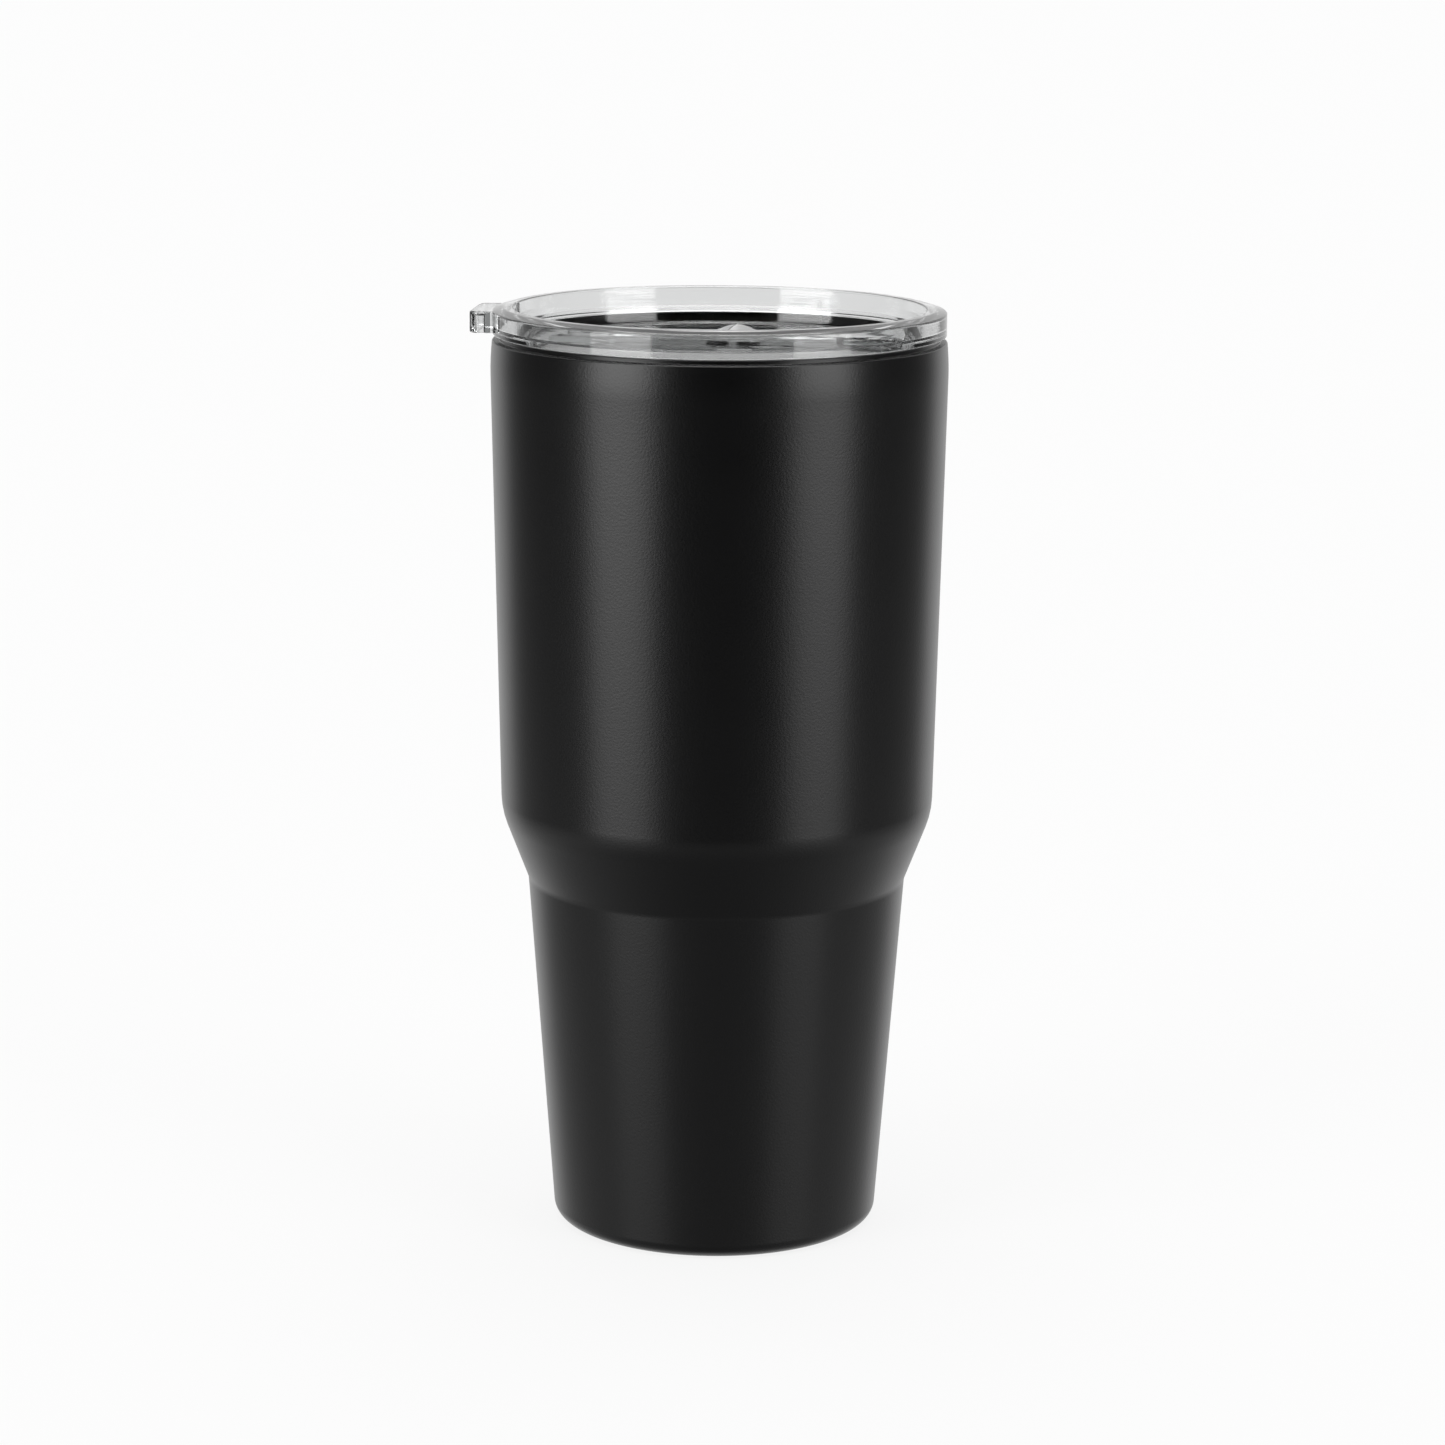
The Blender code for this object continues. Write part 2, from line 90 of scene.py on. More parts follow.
LID_TOP = LID_HIGH.z
RING_R, RING_EDGE_Z = LID_HIGH.x, 206.1 * MM
RING_CROWN_R, RING_INNER_R = 47.4 * MM, 45.4 * MM
RING_LOW_Z = LIP_TOP + 0.3 * MM
PLUG_R, PLUG_LOW_R, PLUG_LOW_Z, PLUG_INNER_R = 46.4 * MM, 46.0 * MM, LID_LOW.z, 43.6 * MM
LEDGE_R, LEDGE_Z, DISH_R = 44.7 * MM, 202.0 * MM, 44.2 * MM
FLOOR_Z, FLOOR_LOW_Z = 198.6 * MM, 196.6 * MM
GROOVE_R, GROOVE_TOP_Z, GROOVE_LOW_Z = 44.9 * MM, 196.0 * MM, 192.6 * MM
TAB_REACH = -LID_LOW.x
TAB_TOP_Z, TAB_LOW_Z = 205.95 * MM, 201.2 * MM
TAB_HALF_WIDTH, TAB_CORNER, TAB_OVERLAP = 9.5 * MM, 2.5 * MM, 3.0 * MM
TAB_WALL = 1.4 * MM
TAB_POCKET_X = (-52.7 * MM, -50.9 * MM)
TAB_POCKET_HALF_WIDTH, TAB_POCKET_TOP_Z = 7.0 * MM, 204.9 * MM

SIP_X = (28.5 * MM, 37.5 * MM)
SIP_HALF_WIDTH = 7.0 * MM
SLOT_X = (-20.0 * MM, 10.0 * MM)
SLOT_HALF_WIDTH = 2.0 * MM
RAIL_INNER, RAIL_WIDTH = SLIDER_HIGH.y + 0.4 * MM, 1.2 * MM
RAIL_HALF_LENGTH, RAIL_TOP_Z = 36.0 * MM, 200.2 * MM

GASKET_WEB_R, GASKET_LIP = 45.7 * MM, 0.55 * MM

PLATE_TOP_Z, PLATE_LOW_Z = 200.7 * MM, 199.2 * MM
PLATE_HALF_WIDTH = SLIDER_HIGH.y
PLATE_FRONT_R = SLIDER_HIGH.x
PLATE_BACK_X = SLIDER_LOW.x
MOUND_X = 3.3 * MM
MOUND_HEIGHT = SLIDER_HIGH.z - PLATE_TOP_Z
MOUND_SINK = 0.15 * MM
MOUND_HALF_LENGTH, MOUND_HALF_WIDTH = 7.2 * MM, 6.2 * MM
POST_XS = (-2.0 * MM, 8.0 * MM)
POST_R, POST_HEAD_R, POST_HEAD_THICK = 1.6 * MM, 2.2 * MM, 0.6 * MM
SEAL_GAP = 0.3 * MM


# ---------------------------------------------------------------- outline and mesh helpers
def rounded(corners, closed=False):
    """Points along an outline of (x, y, radius) corners, each rounded with an arc of that radius."""
    points = []
    count = len(corners)
    for i, (x, y, radius) in enumerate(corners):
        corner = Vector((x, y))
        if radius <= 0 or (not closed and i in (0, count - 1)):
            points.append(corner)
            continue
        before = Vector(corners[i - 1][:2]) - corner
        after = Vector(corners[(i + 1) % count][:2]) - corner
        half_angle = before.angle(after) / 2
        setback = radius / math.tan(half_angle)
        start = corner + before.normalized() * setback
        end = corner + after.normalized() * setback
        middle = before.normalized() + after.normalized()
        centre = corner + middle.normalized() * (radius / math.sin(half_angle))
        turn = math.pi - 2 * half_angle
        steps = max(3, math.ceil(turn / ARC_STEP))
        first, last = start - centre, end - centre
        for k in range(steps + 1):
            share = k / steps
            arm = first * math.sin((1 - share) * turn) + last * math.sin(share * turn)
            points.append(centre + arm / math.sin(turn))
    return points


def offset(points, distance):
    """An open outline moved sideways by a distance, to the right of its direction of travel."""
    moved = []
    for i, point in enumerate(points):
        before = (point - points[i - 1]).normalized() if i else None
        after = (points[i + 1] - point).normalized() if i < len(points) - 1 else before
        before = before or after
        side = (Vector((before.y, -before.x)) + Vector((after.y, -after.x))) / 2
        moved.append(point + side * (distance / side.length_squared))
    return moved


def new_object(name, mesh):
    obj = bpy.data.objects.new(name, mesh)
    bpy.context.scene.collection.objects.link(obj)
    return obj


def lathe(name, points, turns=FINE_TURN, closed=False):
    """A mesh turned about Z from an outline that runs down its outer side."""
    outline = bpy.data.meshes.new(name)
    edges = [(i, i + 1) for i in range(len(points) - 1)]
    if closed:
        edges.append((len(points) - 1, 0))
    outline.from_pydata([(p.x, 0, p.y) for p in points], edges, [])
    obj = new_object(name, outline)
    screw = obj.modifiers.new("turn", "SCREW")
    screw.steps = screw.render_steps = turns
    screw.use_merge_vertices = True
    screw.merge_threshold = 0.000002
    return applied(obj)


def apply_modifiers(obj):
    graph = bpy.context.evaluated_depsgraph_get()
    mesh = bpy.data.meshes.new_from_object(obj.evaluated_get(graph))
    old = obj.data
    obj.modifiers.clear()
    obj.data = mesh
    mesh.name = obj.name
    bpy.data.meshes.remove(old)


def applied(obj):
    """Applies an object's modifiers and shades it smooth, with its edges kept sharp."""
    apply_modifiers(obj)
    obj.data.shade_smooth()
    obj.data.set_sharp_from_angle(angle=math.radians(25))
    return obj


def plate(name, outline, low, high):
    """A flat closed outline in XY as a solid from low to high."""
    mesh = bpy.data.meshes.new(name)
    work = bmesh.new()
    loop = [work.verts.new((p[0], p[1], low)) for p in outline]
    face = work.faces.new(loop)
    raised = bmesh.ops.extrude_face_region(work, geom=[face])
    top = [v for v in raised["geom"] if isinstance(v, bmesh.types.BMVert)]
    bmesh.ops.translate(work, verts=top, vec=(0, 0, high - low))
    bmesh.ops.recalc_face_normals(work, faces=work.faces)
    work.to_mesh(mesh)
    work.free()
    return new_object(name, mesh)


def soften(obj, width, segments=3, angle=40):
    """Rounds an object's hard edges and returns it."""
    bevel = obj.modifiers.new("edges", "BEVEL")
    bevel.width = width
    bevel.segments = segments
    bevel.limit_method = "ANGLE"
    bevel.angle_limit = math.radians(angle)
    return applied(obj)


def combine(obj, other, operation):
    """Joins or cuts an object with another, which is used up."""
    boolean = obj.modifiers.new("combine", "BOOLEAN")
    boolean.operation = operation
    boolean.object = other
    applied(obj)
    bpy.data.objects.remove(other)


def block_outline(x_low, x_high, half_width, radius):
    """A rectangle symmetric about the X axis, with rounded corners."""
    corners = [
        (x_low, -half_width, radius),
        (x_high, -half_width, radius),
        (x_high, half_width, radius),
        (x_low, half_width, radius),
    ]
    return rounded(corners, closed=True)


def post(name, radius, low, high, x):
    """An upright round post."""
    ring = [Vector((x + radius * math.cos(a), radius * math.sin(a))) for a in turn_angles(32)]
    return plate(name, ring, low, high)


def turn_angles(count):
    return [2 * math.pi * k / count for k in range(count)]


def flatten_faces(obj):
    """Keeps the shading of large flat faces flat where they meet rounded edges."""
    weighted = obj.modifiers.new("weighted", "WEIGHTED_NORMAL")
    weighted.mode = "FACE_AREA"
    weighted.weight = 100
    weighted.keep_sharp = True
    apply_modifiers(obj)


def finish_piece(obj, material, body, slot, *nodes):
    """Gives a piece its material and its place in the frame."""
    flatten_faces(obj)
    obj.data.materials.clear()
    obj.data.materials.append(material)
    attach(obj, body)
    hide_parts(*nodes)


# ---------------------------------------------------------------- material helpers
# painted shade: the grey that the sides of the tab's solid walls are mixed towards, in place of the
# darker bands from refraction
TAB_WALL_PAINTED_SHADE = (0.3, 0.31, 0.31)


class NodeTree:
    """A node tree, with the nodes that materials and the surround share."""

    def __init__(self, tree):
        self.tree = tree

    def add(self, kind, **settings):
        node = self.tree.nodes.new(kind)
        for key, value in settings.items():
            setattr(node, key, value)
        return node

    def link(self, source, target):
        self.tree.links.new(source, target)

    def axes(self, vector):
        """A vector's three axes."""
        node = self.add("ShaderNodeSeparateXYZ")
        self.link(vector, node.inputs["Vector"])
        return node.outputs

    def maths(self, operation, *values):
        """A Math node on numbers and sockets."""
        node = self.add("ShaderNodeMath", operation=operation)
        for socket, value in zip(node.inputs, values):
            if isinstance(value, (int, float)):
                socket.default_value = value
            else:
                self.link(value, socket)
        return node.outputs[0]

    def ramp(self, value, stops, interpolation="LINEAR"):
        """A level from 0 to 1 that runs through (place, level) stops."""
        node = self.add("ShaderNodeValToRGB")
        node.color_ramp.interpolation = interpolation
        elements = node.color_ramp.elements
        for place, level in stops[1:-1]:
            elements.new(place).color = (level, level, level, 1)
        for element, (place, level) in ((elements[0], stops[0]), (elements[-1], stops[-1])):
            element.position = place
            element.color = (level, level, level, 1)
        self.link(value, node.inputs["Fac"])
        return node.outputs["Color"]


class Shader(NodeTree):
    """A material's node tree with one Principled shader."""

    def __init__(self, name, **values):
        self.material = bpy.data.materials.new(name)
        self.material.use_nodes = True
        super().__init__(self.material.node_tree)
        self.principled = self.tree.nodes["Principled BSDF"]
        for socket, value in values.items():
            self.principled.inputs[socket.replace("_", " ")].default_value = value
        self.place = self.add("ShaderNodeTexCoord").outputs["Object"]

    def mapped(self, scale):
        """The object's coordinates, stretched along each axis."""
        mapping = self.add("ShaderNodeMapping")
        mapping.inputs["Scale"].default_value = scale
        self.link(self.place, mapping.inputs["Vector"])
        return mapping.outputs["Vector"]

    def noise(self, scale, detail=2.0, roughness=0.5, vector=None):
        node = self.add("ShaderNodeTexNoise")
        node.inputs["Scale"].default_value = scale
        node.inputs["Detail"].default_value = detail
        node.inputs["Roughness"].default_value = roughness
        self.link(vector or self.place, node.inputs["Vector"])
        return node.outputs["Fac"]

    def spread(self, value, low, high):
        """A 0..1 value spread between two limits."""
        node = self.add("ShaderNodeMapRange")
        node.inputs["To Min"].default_value = low
        node.inputs["To Max"].default_value = high
        self.link(value, node.inputs["Value"])
        return node.outputs["Result"]

    def blend_colours(self, value, first, second):
        ramp = self.add("ShaderNodeValToRGB")
        ramp.color_ramp.elements[0].color = (*first, 1)
        ramp.color_ramp.elements[1].color = (*second, 1)
        self.link(value, ramp.inputs["Fac"])
        return ramp.outputs["Color"]

    def bump(self, height, strength, distance, base=None):
        node = self.add("ShaderNodeBump")
        node.inputs["Strength"].default_value = strength
        node.inputs["Distance"].default_value = distance
        self.link(height, node.inputs["Height"])
        if base:
            self.link(base, node.inputs["Normal"])
        return node.outputs["Normal"]

    def drive(self, socket, source):
        self.link(source, self.principled.inputs[socket])


def powder_coat_material():
    """Black powder coat: a fine orange peel over a finer grain, with faint drifts in its gloss."""
    s = Shader("black_powder_coat")
    drift = s.noise(60, detail=2)
    grain = s.noise(3200, detail=2, roughness=0.6)
    peel = s.noise(2000, detail=1)
    s.drive("Base Color", s.blend_colours(grain, (0.0004, 0.0004, 0.0005), (0.0009, 0.0009, 0.0010)))
    s.drive("Roughness", s.spread(drift, 0.27, 0.31))
    fine = s.bump(grain, 0.2, 0.00003)
    s.drive("Normal", s.bump(peel, 0.33, 0.00006, fine))
    return s.material


def steel_material(name, rough_low, rough_high):
    """Brushed stainless steel, with its lines running round the piece."""
    s = Shader(name, Metallic=1.0, Anisotropic=0.4)
    lines = s.noise(1, detail=3, roughness=0.7, vector=s.mapped((40, 40, 6000)))
    cloud = s.noise(45, detail=3)
    s.drive("Base Color", s.blend_colours(lines, (0.50, 0.49, 0.475), (0.62, 0.61, 0.59)))
    s.drive("Roughness", s.spread(cloud, rough_low, rough_high))
    s.drive("Normal", s.bump(lines, 0.12, 0.00004))
    return s.material


def clear_plastic_material(name):
    """Clear moulded plastic, polished, with a faint flow in its surface and fine turned lines."""
    s = Shader(name, IOR=1.57)
    s.principled.inputs["Transmission Weight"].default_value = 1.0
    flow = s.noise(70, detail=2)
    scuffs = s.noise(500, detail=3, roughness=0.6)
    s.drive("Base Color", s.blend_colours(flow, (0.925, 0.935, 0.935), (0.95, 0.955, 0.955)))
    s.drive("Roughness", s.spread(scuffs, 0.008, 0.03))
    turned = s.noise(1, detail=2, vector=s.mapped((10, 10, 1300)))
    s.drive("Normal", s.bump(flow, 0.05, 0.0002, s.bump(turned, 0.2, 0.00004)))
    return s


def lid_plastic_material():
    """The lid's clear plastic, with painted shade in grey on the sides of the tab's two solid walls,
    standing in for the darker bands that refraction makes there.
    """
    s = clear_plastic_material("clear_lid_plastic")
    clear = s.principled.inputs["Base Color"].links[0].from_socket
    tab_end = TAB_POCKET_X[1] + TAB_WALL
    along = s.add("ShaderNodeMapRange")
    along.inputs["From Min"].default_value = -TAB_REACH
    along.inputs["From Max"].default_value = tab_end
    s.link(s.axes(s.place)["X"], along.inputs["Value"])
    pocket_start, pocket_end = [(x + TAB_REACH) / (tab_end + TAB_REACH) for x in TAB_POCKET_X]
    bands = [(0, 1), (pocket_start, 0), (pocket_end, 1), (0.99, 0)]
    walls = s.ramp(along.outputs["Result"], bands, "CONSTANT")
    facing = s.add("ShaderNodeNewGeometry").outputs["Normal"]
    sideways = s.maths("ABSOLUTE", s.axes(facing)["Y"])
    # painted shade: the plastic's colour is mixed towards grey on the sideways faces of the tab's solid
    # walls
    painted_shade_mix = s.add("ShaderNodeMix", data_type="RGBA")
    s.link(s.maths("MULTIPLY", walls, sideways), painted_shade_mix.inputs[0])
    s.link(clear, painted_shade_mix.inputs[6])
    painted_shade_mix.inputs[7].default_value = (*TAB_WALL_PAINTED_SHADE, 1)
    s.drive("Base Color", painted_shade_mix.outputs[2])
    return s.material


def silicone_material():
    """Frosted clear silicone."""
    s = Shader("clear_silicone", IOR=1.41)
    s.principled.inputs["Transmission Weight"].default_value = 0.75
    speck = s.noise(1500, detail=2)
    s.drive("Base Color", s.blend_colours(speck, (0.80, 0.81, 0.82), (0.88, 0.89, 0.90)))
    s.drive("Roughness", s.spread(speck, 0.28, 0.40))
    s.drive("Normal", s.bump(speck, 0.1, 0.00003))
    return s.material


def foil_material():
    """Copper foil with long wrinkles and a bright face."""
    s = Shader("copper_foil", Metallic=1.0)
    wrinkle = s.noise(1, detail=4, vector=s.mapped((120, 120, 40)))
    s.drive("Base Color", s.blend_colours(wrinkle, (0.70, 0.32, 0.18), (0.80, 0.42, 0.27)))
    s.drive("Roughness", s.spread(wrinkle, 0.2, 0.4))
    s.drive("Normal", s.bump(wrinkle, 0.4, 0.0005))
    return s.material


def solder_material():
    """Dark glass solder, fire-polished, with faint streaks."""
    s = Shader("glass_solder", IOR=1.6)
    streak = s.noise(900, detail=2)
    s.drive("Base Color", s.blend_colours(streak, (0.05, 0.05, 0.06), (0.13, 0.13, 0.14)))
    s.drive("Roughness", s.spread(streak, 0.08, 0.2))
    return s.material


def getter_material():
    """Pressed getter powder."""
    s = Shader("getter_powder", Metallic=0.3)
    grain = s.noise(5000, detail=4, roughness=0.7)
    s.drive("Base Color", s.blend_colours(grain, (0.11, 0.11, 0.12), (0.24, 0.24, 0.25)))
    s.drive("Roughness", s.spread(grain, 0.75, 0.95))
    s.drive("Normal", s.bump(grain, 0.5, 0.00005))
    return s.material


BLACK_COAT = powder_coat_material()
LINER_STEEL = steel_material("liner_steel", 0.16, 0.24)
BASE_STEEL = steel_material("base_steel", 0.26, 0.36)
CLEAR = lid_plastic_material()
SLIDER_CLEAR = clear_plastic_material("clear_slider_plastic").material
SILICONE = silicone_material()
COPPER = foil_material()
SOLDER = solder_material()
GETTER = getter_material()


# ---------------------------------------------------------------- steel cup
def outer_outline():
    """The shell's outer face, from the lip down to the opening for the base cap."""
    return rounded([
        (MOUTH_INNER_R, COAT_LOW_Z, 0),
        (MOUTH_INNER_R, LIP_TOP, 0.35 * MM),
        (LIP_R, LIP_TOP, 0.35 * MM),
        (LIP_R, SHOULDER_Z, 0.3 * MM),
        (SHOULDER_R, SHOULDER_Z, 0.4 * MM),
        (MOUTH_R, MOUTH_Z, 60 * MM),
        (STEP_TOP_R, STEP_TOP_Z, 18 * MM),
        (STEP_LOW_R, STEP_LOW_Z, 5 * MM),
        (FOOT_R, 0, FOOT_ROUND),
        (CAP_OPENING_R, 0, 0),
    ])


def make_shell():
    """The shell's wall, with its coat carried over the lip and a little way into the mouth."""
    outer = outer_outline()
    inner = offset(outer, SHELL_WALL)
    coat = offset(outer, COAT_THICK)
    over_lip = sum(1 for point in outer if point.x < LIP_R - SHELL_WALL and point.y > STEP_TOP_Z)
    back = coat[:over_lip] + inner[over_lip:]
    shell = lathe("shell_coated", outer + back[::-1], closed=True)
    finish_piece(shell, BLACK_COAT, "cup", "powder_coat", "outer_shell")


def make_liner():
    """The liner's wall and pressed base, with a rolled lip that meets the shell's."""
    outer = rounded([
        (LINER_LIP_R, LIP_TOP - COAT_GAP, 0),
        (MOUTH_R - LINER_INSET, LINER_NECK_Z, 20 * MM),
        (STEP_TOP_R - LINER_INSET, STEP_TOP_Z, 15 * MM),
        (STEP_LOW_R - LINER_INSET, STEP_LOW_Z, 8 * MM),
        (LINER_SEAM_R, LINER_SEAM_Z, 0),
        (LINER_SEAM_R - 0.4 * MM, LINER_BASE_LOW.z, 5.5 * MM),
        (0, LINER_BASE_LOW.z, 0),
    ])
    inner = offset(outer, LINER_WALL)
    inner[-1].x = 0
    liner = lathe("liner_brushed", outer + inner[::-1])
    finish_piece(liner, LINER_STEEL, "cup", "steel", "liner_wall", "liner_base")


def make_base_cap():
    """The base's disc, with a shallow turned ring and a softened edge."""
    cap_r, cap_top = CAP_HIGH.x, CAP_HIGH.z
    outline = rounded([
        (0, cap_top, 0),
        (cap_r, cap_top, 0.1 * MM),
        (cap_r, 0, 0.3 * MM),
        (CAP_RING_OUTER_R, 0, 0.2 * MM),
        (CAP_RING_OUTER_R - CAP_RING_SLOPE, CAP_RING_DEPTH, 0.2 * MM),
        (CAP_RING_INNER_R, CAP_RING_DEPTH, 0.2 * MM),
        (CAP_RING_INNER_R - CAP_RING_SLOPE, 0, 0.2 * MM),
        (0, 0, 0),
    ])
    cap = lathe("base_disc", outline)
    finish_piece(cap, BASE_STEEL, "cup", "steel", "base_cap")


# ---------------------------------------------------------------- lid
def make_lid():
    """The lid's ring, recess and plug in one turned piece, with its tab, holes and rails."""
    outline = rounded([
        (0, FLOOR_Z, 0),
        (DISH_R, FLOOR_Z, 0.8 * MM),
        (LEDGE_R, LEDGE_Z, 0.2 * MM),
        (LEDGE_R + 0.4 * MM, LEDGE_Z + 0.5 * MM, 0.2 * MM),
        (RING_INNER_R, LID_TOP, 0.4 * MM),
        (RING_CROWN_R, LID_TOP, 2 * MM),
        (RING_R, RING_EDGE_Z, 0.5 * MM),
        (RING_R, RING_LOW_Z, 0.25 * MM),
        (PLUG_R, RING_LOW_Z, 0.3 * MM),
        (PLUG_R - 0.2 * MM, GROOVE_TOP_Z, 0.15 * MM),
        (GROOVE_R, GROOVE_TOP_Z, 0.15 * MM),
        (GROOVE_R, GROOVE_LOW_Z, 0.15 * MM),
        (PLUG_LOW_R, GROOVE_LOW_Z, 0.15 * MM),
        (PLUG_LOW_R - 0.1 * MM, PLUG_LOW_Z, 0.5 * MM),
        (PLUG_INNER_R, PLUG_LOW_Z, 0.3 * MM),
        (PLUG_INNER_R, FLOOR_LOW_Z, 0.8 * MM),
        (0, FLOOR_LOW_Z, 0),
    ])
    lid = lathe("lid_clear", outline)
    combine(lid, tab_shape(), "UNION")
    pocket = block_outline(*TAB_POCKET_X, TAB_POCKET_HALF_WIDTH, 0.5 * MM)
    combine(lid, plate("tab_pocket", pocket, TAB_LOW_Z - MM, TAB_POCKET_TOP_Z), "DIFFERENCE")
    sip = block_outline(*SIP_X, SIP_HALF_WIDTH, 3.5 * MM)
    combine(lid, plate("sip_cutter", sip, FLOOR_LOW_Z - MM, FLOOR_Z + MM), "DIFFERENCE")
    slot = block_outline(*SLOT_X, SLOT_HALF_WIDTH, SLOT_HALF_WIDTH - 0.01 * MM)
    combine(lid, plate("slot_cutter", slot, FLOOR_LOW_Z - MM, FLOOR_Z + MM), "DIFFERENCE")
    for side in (-1, 1):
        combine(lid, rail_shape(side), "UNION")
    finish_piece(lid, CLEAR, "lid", "clear_plastic", "lid_body")


def tab_shape():
    """The pull tab's block, which runs a little way into the ring."""
    root_x = -RING_R + TAB_OVERLAP
    outline = rounded([
        (-TAB_REACH, TAB_HALF_WIDTH, TAB_CORNER),
        (-TAB_REACH, -TAB_HALF_WIDTH, TAB_CORNER),
        (root_x, -TAB_HALF_WIDTH, 0),
        (root_x, TAB_HALF_WIDTH, 0),
    ], closed=True)
    return soften(plate("tab", outline, TAB_LOW_Z, TAB_TOP_Z), 0.4 * MM, angle=60)


def rail_shape(side):
    """A guide rail beside the slider, a little sunk into the lid's floor."""
    y_low, y_high = sorted((side * RAIL_INNER, side * (RAIL_INNER + RAIL_WIDTH)))
    outline = rounded([
        (-RAIL_HALF_LENGTH, y_low, 0.4 * MM),
        (RAIL_HALF_LENGTH, y_low, 0.4 * MM),
        (RAIL_HALF_LENGTH, y_high, 0.4 * MM),
        (-RAIL_HALF_LENGTH, y_high, 0.4 * MM),
    ], closed=True)
    rail = plate("rail", outline, FLOOR_Z - 0.4 * MM, RAIL_TOP_Z)
    return soften(rail, 0.15 * MM, segments=2, angle=60)


def make_gasket():
    """A silicone ring with two soft wiping lips, pressed out to the liner."""
    low, high = GASKET_LOW.z, GASKET_HIGH.z
    inner_r, tip_r = GROOVE_R + 0.05 * MM, GASKET_HIGH.x + 0.3 * MM
    lip = GASKET_LIP
    outline = rounded([
        (inner_r, high, 0.1 * MM),
        (tip_r, high, 0.15 * MM),
        (tip_r, high - lip, 0.15 * MM),
        (GASKET_WEB_R, high - 2 * lip, 0.2 * MM),
        (GASKET_WEB_R, low + 1.5 * lip, 0.2 * MM),
        (tip_r, low + lip, 0.15 * MM),
        (tip_r, low, 0.15 * MM),
        (inner_r, low, 0.1 * MM),
    ], closed=True)
    gasket = lathe("gasket_silicone", outline, closed=True)
    finish_piece(gasket, SILICONE, "lid", "silicone", "lid_gasket")


# ---------------------------------------------------------------- slider
def slider_outline():
    """The slider's plan: its front end follows the dish's wall, and its back corners are rounded."""
    half_sweep = math.asin(PLATE_HALF_WIDTH / PLATE_FRONT_R)
    steps = 24
    angles = [-half_sweep + 2 * half_sweep * k / steps for k in range(steps + 1)]
    front = [(PLATE_FRONT_R * math.cos(a), PLATE_FRONT_R * math.sin(a), 0) for a in angles]
    back = [(PLATE_BACK_X, PLATE_HALF_WIDTH, 4 * MM), (PLATE_BACK_X, -PLATE_HALF_WIDTH, 4 * MM)]
    return rounded(front + back, closed=True)


def mound_shape():
    """The thumb mound: a bell in the XZ plane, drawn out along Y and softened at its ends."""
    steps = 40
    outline = [(-MOUND_HALF_LENGTH, -0.4 * MM), (MOUND_HALF_LENGTH, -0.4 * MM)]
    for k in range(steps + 1):
        share = 1 - 2 * k / steps
        rise = (MOUND_HEIGHT + MOUND_SINK) * 0.5 * (1 + math.cos(math.pi * share))
        outline.append((MOUND_HALF_LENGTH * share, rise - MOUND_SINK))
    mound = plate("mound", outline, -MOUND_HALF_WIDTH, MOUND_HALF_WIDTH)
    turn = Matrix.Rotation(math.pi / 2, 4, "X")
    mound.data.transform(Matrix.Translation((MOUND_X, 0, PLATE_TOP_Z)) @ turn)
    return soften(mound, 0.3 * MM, angle=50)


def make_slider():
    """The slider's plate with its mound and posts, the sip hole's seal under it, and its clip."""
    body = soften(plate("slider_clear", slider_outline(), PLATE_LOW_Z, PLATE_TOP_Z), 0.25 * MM, angle=60)
    combine(body, mound_shape(), "UNION")
    head_z = SLIDER_LOW.z
    for x in POST_XS:
        combine(body, post("post", POST_R, head_z + 0.3 * MM, PLATE_LOW_Z + 0.5 * MM, x), "UNION")
        combine(body, post("head", POST_HEAD_R, head_z, head_z + POST_HEAD_THICK, x), "UNION")
    pocket = block_outline(
        SEAL_LOW.x - SEAL_GAP, SEAL_HIGH.x + SEAL_GAP, SEAL_HIGH.y + SEAL_GAP, 3.8 * MM
    )
    combine(body, plate("pocket", pocket, SEAL_LOW.z, SEAL_HIGH.z + SEAL_GAP), "DIFFERENCE")
    finish_piece(body, SLIDER_CLEAR, "slider", "clear_plastic", "slider_plate")

    seal_outline = block_outline(SEAL_LOW.x, SEAL_HIGH.x, SEAL_HIGH.y, 3.5 * MM)
    seal = soften(plate("sip_seal", seal_outline, SEAL_LOW.z, SEAL_HIGH.z), 0.2 * MM, angle=60)
    finish_piece(seal, SILICONE, "slider", "silicone", "slider_seal")

    clip_outline = block_outline(CLIP_LOW.x, CLIP_HIGH.x, CLIP_HIGH.y, 3 * MM)
    clip = plate("clip_clear", clip_outline, CLIP_LOW.z, CLIP_HIGH.z)
    for x in POST_XS:
        hole = post("hole", POST_R + 0.1 * MM, CLIP_LOW.z - MM, CLIP_HIGH.z + MM, x)
        combine(clip, hole, "DIFFERENCE")
    soften(clip, 0.15 * MM, segments=2, angle=60)
    finish_piece(clip, SLIDER_CLEAR, "slider", "clear_plastic", "slider_clip")


# ---------------------------------------------------------------- hidden vacuum parts
def dress_hidden_parts():
    """Materials for the sealed parts, which keep their CAD meshes."""
    finishes = {
        "outer_base": BASE_STEEL,
        "vacuum_seal_bead": SOLDER,
        "getter_cup": BASE_STEEL,
        "getter_pill": GETTER,
        "copper_wrap": COPPER,
    }
    for node, material in finishes.items():
        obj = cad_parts[node]
        obj.data.materials.clear()
        obj.data.materials.append(material)


# ---------------------------------------------------------------- stage, light and camera
CAMERA_AZIMUTH = 5.0
CAMERA_DISTANCE, CAMERA_HEIGHT = 951 * MM, 307.4 * MM
CAMERA_PITCH, CAMERA_YAW, CAMERA_ROLL = 11.51, 0.07, 0.38
CAMERA_LENS = 108.1

FLOOR_DIFFUSE, FLOOR_GLOW = 0.08, 0.864
WHITE_LEVEL, THROUGH_LEVEL = 0.98, 0.92
